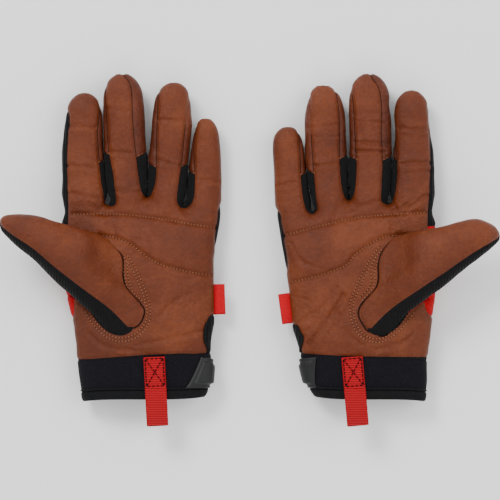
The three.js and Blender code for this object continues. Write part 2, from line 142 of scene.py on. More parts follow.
RIGHT = dict(
    name="right", centre=78.1, mirror=1,
    hand=[(-112, -27, 51), (-99, -35.5, 53.3), (-81, -39.8, 53.5), (-68, -43, 55.3),
          (-57, -46.5, 56.8), (-46, -47, 58), (-32, -48.5, 59.6), (-20, -50.7, 60), (-6, -52.9, 60),
          (20, -56.5, 60), (50, -59.6, 59.6)],
    web=[(-60, 34), (-32, 28), (-5, 38), (23, 35), (60, 30)],
    fingers=dict(
        index=dict(tip=(41.8, 117.7), split=45, cap=18.5,
                   rows=[(5, 28.5, 60), (38, 28.3, 59.7), (55, 28.2, 59.4), (74, 28.5, 58.1),
                         (87, 29.2, 56.6), (103, 29.2, 55)]),
        middle=dict(tip=(9.8, 130.6), split=48, cap=19,
                    rows=[(5, -3, 24), (38, -2.8, 23.5), (52, -4, 25), (70, -4.1, 27.2),
                          (96, -4.1, 27.2), (110, -4.1, 25.6)]),
        ring=dict(tip=(-23.8, 122.1), split=45, cap=18,
                  rows=[(5, -29, -6), (36, -28.8, -7), (50, -31.5, -6.6), (70, -36.8, -5.8),
                        (100, -37.2, -7.8), (109, -35.2, -9.3)]),
        little=dict(tip=(-50, 91), split=37, cap=13,
                    rows=[(-5, -58.5, -36.5), (30, -59, -36), (42, -60, -37.5), (56, -60.3, -38.7),
                          (74, -61, -38.1), (84, -60.8, -39.6)])),
    leather=[(66, -79.5), (66, -50), (58.5, -50), (52.5, -44), (51, -31), (54, -5), (53.7, 16),
             (55, 39), (55.9, 66), (55.9, 92), (54.4, 107), (61, 109), (56, 124), (40, 124),
             (27, 112), (28.5, 90), (31, 66), (30, 46), (27.3, 36.5), (23.3, 33.7), (19.5, 37),
             (19.6, 50), (20.2, 63), (19.2, 84), (19.4, 105), (17.4, 119), (11.5, 129), (11, 136),
             (-6, 134), (-1.9, 112), (-0.4, 89), (0.6, 66), (0, 50), (-1.5, 40.5), (-4.8, 37),
             (-8.3, 41), (-10.5, 52), (-11.5, 70), (-12, 100), (-14.4, 117), (-15, 127), (-36, 127),
             (-34, 112.5), (-33, 91), (-30.7, 56), (-29.3, 40), (-28.6, 30.5), (-31.8, 26.6),
             (-36, 30), (-39, 42), (-40.3, 57), (-41, 74), (-42, 87), (-43, 97), (-70, 97),
             (-69, 38), (-57.2, 28), (-55, 19.6), (-51.7, -2), (-51, -13), (-56, -22), (-68, -28),
             (-68, -54), (-46.3, -54.8), (-40.8, -62), (-38.9, -66), (-39.3, -77), (-20, -78.5),
             (10, -79), (54, -79.5)],
    fourchette_start=dict(index=66, middle=67, ring=(57, 68), little=57),
    meet=[76, 71, 69],
    upper_row=[(52.2, 27.4), (29, 26), (2.6, 23.7), (-24, 18), (-50, 11.1), (-56, 9.5)],
    lower_row=[(38.5, 10.6), (22.6, 9.6), (11.2, 4.4), (-0.4, -3.7), (-6.3, -11), (-24, -18.5),
               (-47.7, -24)],
    hole_outer=[(18.9, 1.5), (13, -6), (7.4, -15.5), (1.9, -27.4), (-2.6, -38.5), (-2.6, -46),
                (-0.4, -56), (6, -64.4), (16, -67.3), (24.8, -64.4), (33.7, -56.6), (42.6, -45)],
    hole_inner=[(16.7, -5.2), (13, -14), (13, -23.7), (10.7, -29.6), (3.3, -37)],
    thumb=dict(
        upper=[(24.8, 5.2), (30, 9.5), (38, 12), (49.5, 14.5), (61.4, 16.6), (76.6, 20.7),
               (90, 22.4), (101, 18), (106.2, 11.5)],
        lower=[(27.8, -59.2), (37, -47.5), (51.4, -37), (66, -26), (80, -14.5), (92, -5),
               (101, 2.5), (105, 7), (106.2, 11.5)],
        base=[(24.8, 5.2), (18.9, -3), (16.7, -11.8), (16.7, -22.2), (13.7, -30.3), (4.5, -40),
              (2.1, -48), (5.9, -56), (10, -60.7), (20, -64), (27.8, -59.2)],
        gusset=[(8, -57), (11, -61.5), (18, -63.5), (27, -60.5), (34, -54.5), (39, -47), (47, -41),
                (56, -36), (40, -36), (20, -48)]),
    creases=[([(57, 64), (34, 63)], 0.6, 2.2), ([(24, 78), (-1, 80)], 0.6, 2),
             ([(22, 72), (0, 73)], 0.5, 1.6), ([(-9, 64), (-30, 62)], 0.5, 2),
             ([(-41, 50), (-58, 47)], 0.4, 2), ([(55, 88), (32, 90)], 0.45, 2),
             ([(23, 100), (-1, 101)], 0.45, 1.8), ([(22, 94), (2, 95)], 0.3, 1.5),
             ([(-10, 92), (-34, 90)], 0.45, 2), ([(-11, 84), (-32, 83)], 0.3, 1.6),
             ([(55, 58), (36, 56)], 0.4, 1.8), ([(54, 40), (40, 31), (31, 18)], 0.8, 2),
             ([(44, 38), (33, 28), (27, 15)], 0.6, 1.8), ([(30, 30), (26, 20)], 0.5, 1.8),
             ([(20, 36), (4, 32), (-6, 28)], 0.45, 2.2),
             ([(-14, 30), (-24, 6), (-28, -10)], 0.4, 2.6),
             ([(-48, 6), (-40, -8), (-28, -13)], 0.4, 2.4),
             ([(-9, -34), (-18, -49), (-28, -62), (-35, -70)], 0.9, 2.4),
             ([(-14, -28), (-28, -46), (-42, -54)], 0.5, 2.6),
             ([(4, -70), (-8, -60), (-12, -48)], 0.4, 2.6),
             ([(48, -56), (36, -68), (16, -74)], 0.4, 2.4), ([(-46, -34), (-34, -38)], 0.4, 2)],
    tab=dict(top=11.5, bottom=5.5), loop_tilt=-5, loop_x=-2.6, flag_tilt=8, flag_y=-43,
)
GLOVES = (LEFT, RIGHT)

# Half thickness of the hand at each y, and of each finger at its base, its middle and near its tip
HAND_DEPTH = [(-112, 11.2), (-80, 11.6), (-55, 13.2), (-30, 14.3), (0, 13.6), (22, 11.7), (40, 10.2)]
WRIST_LIFT = [(-112, 2.6), (-65, 2.6), (-40, 0), (60, 0)]
FINGER_DEPTH = dict(index=(11.2, 10.4, 9.2), middle=(11.5, 10.8, 9.4), ring=(11.2, 10.4, 9.2),
                    little=(10.4, 9.2, 8))
FINGER_RISE = 5.0  # how far a fingertip curls up off the table
THUMB_STITCH_SIDE = 0.77  # share of the thumb's width that is leather
THUMB_ROOT = np.array([20.5, -34])
THUMB_BLEND = 26.0  # how far along the thumb a bend from the hand is worked out; no bend is applied
FINGER_PANELS = ("front", "fourchette_thumb_side", "fourchette_outer", "side_knit_thumb_side",
                 "side_knit_outer")
ACCENT = [(80, 16), (52, 17), (40, 8), (33, -14), (34, -38), (46, -50), (80, -51), (90, -20), (80, 16)]

# ---------------------------------------------------------------- numbers and curves


def spline(points, step=0.8):
    """A smooth curve through the points, resampled at an even step."""
    p = np.array(points, float)
    p = np.vstack([2 * p[0] - p[1], p, 2 * p[-1] - p[-2]])
    t = np.linspace(0, 1, 16, endpoint=False)[:, None]
    runs = []
    for a, b, c, d in zip(p, p[1:], p[2:], p[3:]):
        runs.append(0.5 * (2 * b + (c - a) * t + (2 * a - 5 * b + 4 * c - d) * t**2
                           + (3 * b - a - 3 * c + d) * t**3))
    curve = np.vstack(runs + [p[-2:-1]])
    return resample(curve, max(2, int(path_length(curve) / step)))


def path_length(curve):
    return np.linalg.norm(np.diff(curve, axis=0), axis=1).sum()


def resample(curve, count):
    along = np.concatenate([[0], np.cumsum(np.linalg.norm(np.diff(curve, axis=0), axis=1))])
    at = np.linspace(0, along[-1], count + 1)
    return np.stack([np.interp(at, along, curve[:, k]) for k in range(curve.shape[1])], axis=1)


def smooth_table(rows, column, y, width=6.0):
    """A column of rows as a smooth function of y: straight between rows, then blurred."""
    rows = np.array(rows, float)
    grid = np.arange(-130, 150, 0.5)
    values = np.interp(grid, rows[:, 0], rows[:, column])
    kernel = np.hanning(int(width / 0.5) * 2 + 1)
    pad = len(kernel) // 2
    blurred = np.convolve(np.pad(values, pad, mode="edge"), kernel / kernel.sum(), mode="valid")
    return np.interp(y, grid, blurred)


def distance_to(path, x, y):
    """Distance in plan from points to a path, in millimetres."""
    best = np.full(np.shape(x), 1e9)
    for (ax, ay), (bx, by) in zip(path, path[1:]):
        dx, dy = bx - ax, by - ay
        t = np.clip(((x - ax) * dx + (y - ay) * dy) / (dx * dx + dy * dy + 1e-9), 0, 1)
        best = np.minimum(best, (x - ax - t * dx) ** 2 + (y - ay - t * dy) ** 2)
    return np.sqrt(best)


def inside(path, x, y):
    """True for points inside a closed outline."""
    odd = np.zeros(np.shape(x), bool)
    for (ax, ay), (bx, by) in zip(path, np.roll(path, -1, axis=0)):
        if ay == by:
            continue
        crosses = (ay > y) != (by > y)
        odd ^= crosses & (x < (bx - ax) * (y - ay) / (by - ay) + ax)
    return odd


def smooth_step(t):
    t = np.clip(t, 0, 1)
    return t * t * (3 - 2 * t)


def smooth_min(a, b, k):
    h = np.clip(0.5 + 0.5 * (b - a) / k, 0, 1)
    return b + (a - b) * h - k * h * (1 - h)


def noise(p, wavelength, seed):
    """Soft pseudo-random bumps from -1 to 1, a sum of seeded waves."""
    rng = np.random.default_rng(seed)
    total = np.zeros(len(p))
    for _ in range(10):
        direction = rng.normal(size=3)
        direction /= np.linalg.norm(direction)
        length = wavelength * rng.uniform(0.7, 1.6)
        total += np.sin(p @ direction * 2 * np.pi / length + rng.uniform(0, 6.28))
    return total / 4.5


# ---------------------------------------------------------------- implicit shapes


def as_distance(g, step):
    """Scales an implicit function so that it reads as a distance close to its surface."""
    dx, dy, dz = np.gradient(g, step)
    return g / np.maximum(np.sqrt(dx * dx + dy * dy + dz * dz), 1e-4)


def section(x, z, low, high, centre_z, depth, power):
    """Implicit superellipse section, negative inside."""
    half = np.maximum((high - low) / 2, 0.25)
    across = np.abs(x - (high + low) / 2) / half
    up = np.abs(z - centre_z) / np.maximum(depth, 0.25)
    return (across**power + up**power) ** (1 / power) - 1


def hand_middle(y):
    """Height of the hand's middle and its half thickness at y."""
    depth = smooth_table(HAND_DEPTH, 1, y)
    return depth + smooth_table(WRIST_LIFT, 1, y), depth


def hand_edges(glove, y):
    return smooth_table(glove["hand"], 1, y), smooth_table(glove["hand"], 2, y)


def hand_field(glove, x, y, z, step):
    """The hand as a distance, ended by a wall at the webs with a wide round edge."""
    g = section(x, z, *hand_edges(glove, y), *hand_middle(y), HAND_POWER)
    web = smooth_table(glove["web"], 1, x)
    return -smooth_min(-as_distance(g, step), web - y, WEB_ROUNDING)


def finger_shape(glove, name, y):
    """Low edge, high edge, middle height and half thickness of a finger at y."""
    f = glove["fingers"][name]
    tip_x, tip_y = f["tip"]
    low, high = smooth_table(f["rows"], 1, y, 5), smooth_table(f["rows"], 2, y, 5)
    cap = np.clip((y - (tip_y - f["cap"])) / f["cap"], 0, 1.1)
    size = np.clip(1 - cap**2.35, 0.0004, 1) ** 0.5
    for side in (-1, 1):
        share, meet = joined(glove, name, side, y)
        if side < 0:
            low = low + (meet - low) * share
        else:
            high = high + (meet - high) * share
    root = 1 - np.clip((f["split"] - 4 - y) / 32, 0, 1)
    middle = (low + high) / 2
    middle = middle + (tip_x - middle) * cap**2
    half = ((high - low) / 2 - 7 * (1 - root)) * size
    base, body, tip = FINGER_DEPTH[name]
    share = np.clip((y - 35) / (tip_y - 35), 0, 1)
    depth = np.interp(share, [0, 0.5, 1], [base, body, tip])
    centre = depth + FINGER_RISE * share**1.6 + 0.3
    return middle - half, middle + half, centre, (depth - 0.8 * (1 - root)) * size


def joined(glove, name, side, y):
    """How far a finger's side is drawn to its neighbour at y, and the x where the two meet."""
    names = sorted(glove["fingers"], key=lambda n: glove["fingers"][n]["tip"][0])
    at = names.index(name) + side
    if not 0 <= at < len(names):
        return 0.0, 0.0
    own, other = glove["fingers"][name]["rows"], glove["fingers"][names[at]]["rows"]
    facing = (2, 1) if side > 0 else (1, 2)
    between = (smooth_table(own, facing[0], y, 5) + smooth_table(other, facing[1], y, 5)) / 2
    top = glove["meet"][min(at, at - side)]
    return smooth_step((top + 3 - y) / 6), between - 0.2 * side


def finger_field(glove, name, x, y, z, step):
    """A finger as a distance, cut off at its tip and well inside the hand."""
    g = section(x, z, *finger_shape(glove, name, y), FINGER_POWER)
    f = glove["fingers"][name]
    return np.maximum(as_distance(g, step), np.maximum(y - f["tip"][1], f["split"] - HAND_CUT - y))


def grid(low, high, step):
    axes = [np.arange(a, b, step, dtype=np.float64) for a, b in zip(low, high)]
    return np.meshgrid(*axes, indexing="ij")


def sampled(field, low, points, step):
    """Trilinear samples of a grid at points."""
    at = (points - low) / step
    base = np.clip(np.floor(at).astype(int), 0, np.array(field.shape) - 2)
    t = at - base
    total = np.zeros(len(points))
    for number in range(8):
        corner = np.array([number & 1, number >> 1 & 1, number >> 2 & 1])
        weight = np.where(corner, t, 1 - t).prod(axis=1)
        total += weight * field[tuple((base + corner).T)]
    return total


def surface(field, low, step):
    """Triangles of a field's zero surface, with points drawn onto it."""
    low = np.array(low, float)
    volume = openvdb.FloatGrid()
    volume.background = 3.0
    volume.copyFromArray(np.clip(field, -3, 3).astype(np.float32))
    points, quads = volume.convertToQuads(isovalue=0)
    points = low + np.array(points, float) * step
    slope = [np.ascontiguousarray(g) for g in np.gradient(field, step)]
    for _ in range(2):
        n = np.stack([sampled(g, low, points, step) for g in slope], axis=1)
        size = np.maximum((n * n).sum(axis=1), 0.05)
        move = np.clip(sampled(field, low, points, step) / size, -0.5, 0.5)
        points = points - n * move[:, None]
    quads = np.array(quads, int)
    return points, np.vstack([quads[:, [0, 2, 1]], quads[:, [0, 3, 2]]])


def hand_surface(glove):
    low, high = (-66, HEM_TOP - 8, -2), (66, 74, 36)
    x, y, z = grid(low, high, VOXEL)
    hand = hand_field(glove, x, y, z, VOXEL)
    fingers = np.full(x.shape, 50.0)
    for name in glove["fingers"]:
        fingers = np.minimum(fingers, finger_field(glove, name, x, y, z, VOXEL))
    return surface(smooth_min(hand, fingers, ROOT_BLEND), low, VOXEL)


def finger_surface(glove, name):
    f = glove["fingers"][name]
    rows = np.array(f["rows"], float)
    low = (rows[:, 1].min() - 5, f["split"] - 6, -2)
    high = (rows[:, 2].max() + 5, f["tip"][1] + 3, 32)
    x, y, z = grid(low, high, FINE)
    finger = finger_field(glove, name, x, y, z, FINE)
    return surface(smooth_min(hand_field(glove, x, y, z, FINE), finger, ROOT_BLEND), low, FINE)


# ---------------------------------------------------------------- cutting along seams


def cut(points, faces, value):
    """Splits triangles where value, a function of the points, changes sign."""
    v = value(points)
    v = np.where(np.abs(v) < 1e-4, 1e-4, v)
    sign = v[faces] > 0
    mixed = (sign.sum(axis=1) % 3) != 0
    whole, tri, side = faces[~mixed], faces[mixed], sign[mixed]
    if not len(tri):
        return points, faces
    lone_sign = side.sum(axis=1) == 1
    lone = np.argmax(side == lone_sign[:, None], axis=1)
    order = (lone[:, None] + np.arange(3)) % 3
    a, b, c = np.take_along_axis(tri, order, axis=1).T
    edges = np.sort(np.concatenate([np.stack([a, b], 1), np.stack([a, c], 1)]), axis=1)
    unique, index = np.unique(edges, axis=0, return_inverse=True)
    index = index.reshape(-1)
    t = v[unique[:, 0]] / (v[unique[:, 0]] - v[unique[:, 1]])
    fresh = points[unique[:, 0]] + t[:, None] * (points[unique[:, 1]] - points[unique[:, 0]])
    ab, ac = index[:len(a)] + len(points), index[len(a):] + len(points)
    pieces = [whole, np.stack([a, ab, ac], 1), np.stack([ab, b, c], 1), np.stack([ab, c, ac], 1)]
    return np.vstack([points, fresh]), np.vstack(pieces)


def plan_margin(points, step):
    """A function of points: positive inside a closed plan outline, and the distance from it."""
    outline = spline(points, step)

    def margin(p):
        distance = distance_to(outline, p[:, 0], p[:, 1])
        return np.where(inside(outline, p[:, 0], p[:, 1]), distance, -distance)

    return margin


def leather_margin(glove):
    """A function of points: positive on the leather sheet."""
    plan = plan_margin(glove["leather"] + glove["leather"][:1], 1.5)
    return lambda p: np.minimum(plan(p), p[:, 2] - back_seam(glove, p))


def patch_margin(outline):
    """A function of points: positive over a closed outline, on the palm side."""
    plan = plan_margin(outline + outline[:1], 1.5)
    return lambda p: np.minimum(plan(p), p[:, 2] - 12)


def back_seam(glove, p):
    """Height of the seam between the front panels and the knit back, at each point."""
    x, y, _ = p.T
    seam = hand_middle(np.clip(y, -112, 40))[0] * 0.62
    # The leather wraps under the thumb side of the wrist.
    wrap = np.clip((-50 - y) / 4, 0, 1) * np.clip((x - 30) / 4, 0, 1)
    seam = seam - 14 * wrap * np.clip((x - 38) / 6, 0, 1)
    return seam + np.clip(y - 60, 0, 60) * 0.06


def outward(points, faces):
    """Turns triangles or quads to point out, from the sign of the volume inside."""
    volume = 0
    for k in range(1, faces.shape[1] - 1):
        a, b, c = (points[faces[:, i]] for i in (0, k, k + 1))
        volume += (a * np.cross(b, c)).sum()
    return faces if volume > 0 else faces[:, ::-1]


def ring_quads(rows, columns, closed=False):
    """Quads of a grid of points whose columns run round in a ring, and its rows too where closed."""
    index = np.arange(rows * columns).reshape(rows, columns)
    if closed:
        index = np.vstack([index, index[:1]])
    turned = np.roll(index, -1, 1)
    return np.stack([index[:-1], turned[:-1], turned[1:], index[1:]], -1).reshape(-1, 4)


def vertex_normals(points, faces):
    a, b, c = (points[faces[:, k]] for k in range(3))
    n = np.cross(b - a, c - a)
    total = np.zeros_like(points)
    for k in range(3):
        np.add.at(total, faces[:, k], n)
    return total / np.maximum(np.linalg.norm(total, axis=1, keepdims=True), 1e-12)


def groove(distance, depth, width):
    return -depth * np.exp(-((distance / width) ** 2))


def press(glove, points, faces, seam_distance):
    """Moves the surface: panels puff up between seams, and the leather creases."""
    n = vertex_normals(points, faces)
    x, y, z = points.T
    top = np.clip(n[:, 2] * 1.6, 0, 1)
    move = 0.35 * noise(points, 34, 5) + 0.16 * noise(points, 13, 8)
    move += groove(seam_distance(points), 0.75, 1.3)
    uneven = np.clip(0.75 + 0.6 * noise(points, 16, 21), 0.1, 1.3)
    for path, depth, width in glove["creases"]:
        d = distance_to(spline(path, 3), x, y) + 0.9 * noise(points, 11, 22)
        depth = depth * uneven
        move += top * (groove(d, depth * 1.6, width * 0.6) - groove(d - width * 1.5, depth * 0.8, width))
    for row, depth, width in (("upper_row", 1.2, 1.7), ("lower_row", 1.2, 1.7),
                              ("hole_outer", 0.5, 1.5), ("hole_inner", 0.5, 1.5)):
        move += top * groove(distance_to(spline(glove[row], 3), x, y), depth, width)
    move += top * 1.4 * pad_band(glove, x, y)
    inwards = np.minimum(1, np.maximum(z, 0) / 1.5)  # the side on the table stays flat
    moved = points + n * (move * np.where(n[:, 2] < -0.3, 0.4 * inwards, 1))[:, None]
    moved[:, 2] = np.maximum(moved[:, 2], TABLE_GAP)
    return moved


def pad_band(glove, x, y):
    """How far the foam pad lifts the leather: 1 between its two stitched rows."""
    upper, lower = np.array(glove["upper_row"])[::-1], np.array(glove["lower_row"])[::-1]
    top = np.interp(x, upper[:, 0], upper[:, 1])
    bottom = np.interp(x, lower[:, 0], lower[:, 1])
    share = np.clip((y - bottom) / np.maximum(top - bottom, 1), 0, 1)
    reach = np.clip((x - lower[0, 0] + 4) / 8, 0, 1) * np.clip((upper[-1, 0] - x) / 14, 0, 1)
    return np.clip(4 * share * (1 - share), 0, 1) ** 0.5 * reach


# ---------------------------------------------------------------- Blender objects

PIECES = {}


def to_row(glove, points):
    """From a glove's own frame to the row frame, in metres."""
    p = np.array(points, float).reshape(-1, 3).copy()
    p[:, 0] = glove["centre"] + glove["mirror"] * p[:, 0]
    return (p + SHIFT) * MM


def make(glove, name, points, faces, material, body=None, nodes=(), normals=None):
    """A mesh object from points in the glove's frame; its faces turn over where the glove is mirrored.
    It rides on the body and stands for the nodes, where they are given."""
    faces = [tuple(int(i) for i in f) for f in faces]
    if glove["mirror"] < 0:
        faces = [f[::-1] for f in faces]
    mesh = bpy.data.meshes.new(f"{glove['name']}_{name}")
    mesh.from_pydata(to_row(glove, points).tolist(), [], faces)
    mesh.validate()
    mesh.polygons.foreach_set("use_smooth", [True] * len(mesh.polygons))
    if normals is not None:
        n = normals.copy()
        n[:, 0] *= glove["mirror"]
        mesh.normals_split_custom_set_from_vertices(n.tolist())
    piece = bpy.data.objects.new(mesh.name, mesh)
    bpy.context.collection.objects.link(piece)
    mesh.materials.append(MATERIALS[material])
    if body:
        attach(piece, f"{glove['name']}_{body}")
    if nodes:
        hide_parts(*[f"{glove['name']}_{node}" for node in nodes])
    PIECES[piece.name] = piece
    return piece


def compact(points, faces, *more):
    used, index = np.unique(faces, return_inverse=True)
    return points[used], index.reshape(faces.shape), *[m[used] for m in more]


# ---------------------------------------------------------------- materials


class Shader:
    """A Principled material with short helpers for its nodes."""

    def __init__(self, name, roughness, sheen=0.0, specular=0.4):
        self.material = bpy.data.materials.new(name)
        self.material.use_nodes = True
        self.tree = self.material.node_tree
        self.bsdf = self.tree.nodes["Principled BSDF"]
        self.bsdf.inputs["Roughness"].default_value = roughness
        self.bsdf.inputs["Sheen Weight"].default_value = sheen
        self.bsdf.inputs["Specular IOR Level"].default_value = specular
        self.coords = self.node("ShaderNodeTexCoord").outputs["Object"]
        self.height = None

    def feed(self, socket, value):
        if isinstance(value, bpy.types.NodeSocket):
            self.tree.links.new(value, socket)
        else:
            socket.default_value = value

    def node(self, kind, **inputs):
        made = self.tree.nodes.new(kind)
        for key, value in inputs.items():
            self.feed(made.inputs[key], value)
        return made

    def maths(self, operation, a, b=0.0):
        made = self.tree.nodes.new("ShaderNodeMath")
        made.operation = operation
        self.feed(made.inputs[0], a)
        self.feed(made.inputs[1], b)
        return made.outputs[0]

    def scaled(self, value, factor, offset):
        return self.maths("ADD", self.maths("MULTIPLY", value, factor), offset)

    def noise(self, scale, detail=3.0, rough=0.5):
        return self.node("ShaderNodeTexNoise", Vector=self.coords, Scale=scale, Detail=detail,
                         Roughness=rough).outputs["Fac"]

    def cells(self, scale):
        made = self.node("ShaderNodeTexVoronoi", Vector=self.coords, Scale=scale)
        made.feature = "DISTANCE_TO_EDGE"
        return made.outputs["Distance"]

    def waves(self, pitch, axis, turn=0.0):
        """Round ribs with a pitch in metres along an axis of the row frame, or aslant where turned."""
        parts = self.node("ShaderNodeSeparateXYZ", Vector=self.coords)
        rate = 2 * math.pi / pitch
        along = self.maths("MULTIPLY", parts.outputs[axis], rate)
        if turn:
            other = self.maths("MULTIPLY", parts.outputs["Y" if axis == "X" else "X"], turn * rate)
            along = self.maths("ADD", along, other)
        return self.maths("SINE", along)

    def colours(self, factor, *stops):
        ramp = self.node("ShaderNodeValToRGB", Fac=factor)
        for element, (position, colour) in zip(ramp.color_ramp.elements, (stops[0], stops[-1])):
            element.position = position
            element.color = (*colour, 1)
        for position, colour in stops[1:-1]:
            ramp.color_ramp.elements.new(position).color = (*colour, 1)
        return ramp.outputs["Color"]

    def paint(self, colour):
        self.tree.links.new(colour, self.bsdf.inputs["Base Color"])
        return self

    def rough(self, value):
        self.tree.links.new(value, self.bsdf.inputs["Roughness"])
        return self

    def bump(self, height, distance, strength=1.0):
        """Adds a bump layer; distance is its depth in metres."""
        made = self.node("ShaderNodeBump", Height=height, Distance=distance, Strength=strength)
        if self.height is not None:
            self.tree.links.new(self.height, made.inputs["Normal"])
        self.height = made.outputs["Normal"]
        self.tree.links.new(self.height, self.bsdf.inputs["Normal"])
        return self


def leather(name, dark, mid, light):
    """Drum-dyed goatskin: uneven colour, soft puckers and a fine pebble grain."""
    s = Shader(name, 0.5, specular=0.24)
    patches = s.scaled(s.noise(26, 4, 0.6), 0.7, s.maths("MULTIPLY", s.noise(420, 4, 0.65), 0.3))
    s.paint(s.colours(patches, (0.36, dark), (0.5, mid), (0.64, light)))
    s.rough(s.scaled(s.noise(320, 2), 0.18, 0.36))
    s.bump(s.noise(85, 4, 0.6), 0.0014, 0.7)
    s.bump(s.noise(330, 4, 0.7), 0.0010, 0.7)
    s.bump(s.cells(800), 0.0006, 0.8)
    return s.material


def ribbed(name, dark, light, pitch, axis="X"):
    """Stretch knit with fine ribs."""
    s = Shader(name, 0.85, sheen=0.03, specular=0.12)
    s.paint(s.colours(s.noise(900, 2), (0.35, dark), (0.7, light)))
    s.bump(s.waves(pitch, axis), pitch * 0.22, 0.7)
    s.bump(s.noise(2200, 2), 0.0002, 0.5)
    return s.material


def knit(name, dark, light, pitch=0.0009):
    """A smooth fine knit: two crossed sets of waves."""
    s = Shader(name, 0.82, sheen=0.03, specular=0.12)
    s.paint(s.colours(s.noise(700, 3), (0.35, dark), (0.7, light)))
    loops = s.maths("MULTIPLY", s.waves(pitch, "X", 0.6), s.waves(pitch, "Y", 0.6))
    s.bump(loops, 0.00018, 0.6)
    s.bump(s.noise(110, 3), 0.0006, 0.35)
    return s.material


def webbing(name, dark, light):
    """Grosgrain: crosswise ribs with a fine weave over them; the colour follows the ribs, with painted
    shade in their valleys and painted highlight on their crests.
    """
    s = Shader(name, 0.62, sheen=0.03, specular=0.15)
    ribs = s.waves(0.0017, "Y")
    # Painted shade in the rib valleys and painted highlight on the rib crests: the colour follows the rib
    # height.
    s.paint(s.colours(s.scaled(ribs, 0.5, 0.5), (0.1, dark), (0.8, light)))
    s.bump(ribs, 0.00035, 0.8)
    s.bump(s.waves(0.0009, "X"), 0.00012, 0.5)
    s.bump(s.noise(1500, 2), 0.0001, 0.5)
    return s.material


def moulded(name, dark, light):
    s = Shader(name, 0.5, specular=0.3)
    s.paint(s.colours(s.noise(140, 3), (0.3, dark), (0.7, light)))
    s.rough(s.scaled(s.noise(260, 2), 0.15, 0.42))
    s.bump(s.noise(1800, 2), 0.00012, 0.5)
    return s.material


def thread(name, dark, light):
    s = Shader(name, 0.7, specular=0.1)
    s.paint(s.colours(s.noise(1200, 2), (0.3, dark), (0.7, light)))
    s.bump(s.waves(0.0006, "X", 1.0), 0.0001, 0.6)
    return s.material


MATERIALS = dict(
    leather=leather("goatskin", (0.078, 0.0130, 0.0018), (0.104, 0.0188, 0.0026),
                    (0.144, 0.0305, 0.0062)),
    # The fourchettes use the palm goatskin made darker: painted shade on the finger sides between the
    # fingers.
    fourchette=leather("goatskin_side_shaded", (0.052, 0.0086, 0.0018), (0.080, 0.0142, 0.0032),
                       (0.116, 0.0240, 0.0066)),
    knit=ribbed("ribbed_back", (0.0026, 0.0026, 0.0030), (0.0068, 0.0068, 0.0078), 0.0021),
    gusset=knit("stretch_gusset", (0.0026, 0.0026, 0.0030), (0.0056, 0.0056, 0.0064)),
    cuff=knit("cuff_knit", (0.0028, 0.0026, 0.0044), (0.0058, 0.0052, 0.0086), 0.0008),
    binding=knit("binding", (0.0030, 0.0030, 0.0036), (0.0066, 0.0066, 0.0076), 0.0011),
    strap=ribbed("strap", (0.0030, 0.0030, 0.0036), (0.0062, 0.0062, 0.0072), 0.0016, "Y"),
    accent=knit("red_stretch", (0.30, 0.0018, 0.0050), (0.46, 0.0035, 0.0090), 0.0010),
    label=knit("red_label", (0.44, 0.0026, 0.0090), (0.52, 0.0045, 0.0130), 0.0007),
    webbing=webbing("red_webbing", (0.25, 0.0014, 0.0046), (0.43, 0.0032, 0.0095)),
    rubber=moulded("moulded_rubber", (0.0042, 0.0044, 0.0048), (0.0075, 0.0078, 0.0084)),
    lining=knit("lining", (0.006, 0.006, 0.007), (0.012, 0.012, 0.013)),
    tan_thread=thread("tan_thread", (0.20, 0.070, 0.031), (0.30, 0.118, 0.060)),
    dark_thread=thread("dark_thread", (0.0015, 0.0015, 0.002), (0.004, 0.004, 0.005)),
    # Dark brown: the thread of the seam lines, and the painted shade of the needle holes between the palm
    # stitches.
    brown_thread_and_hole_shade=thread("brown_thread_and_hole_shade", (0.006, 0.002, 0.001), (0.014, 0.004, 0.002)),
)

# ---------------------------------------------------------------- panels of the hand and fingers


def finger_at(glove, x):
    """The name of the finger that each x belongs to at the knuckles."""
    names = list(glove["fingers"])
    middles = []
    for name in names:
        rows = np.array(glove["fingers"][name]["rows"], float)
        middles.append((rows[1, 1] + rows[1, 2]) / 2)
    return np.argmin(np.abs(np.asarray(x)[:, None] - np.array(middles)), axis=1), names


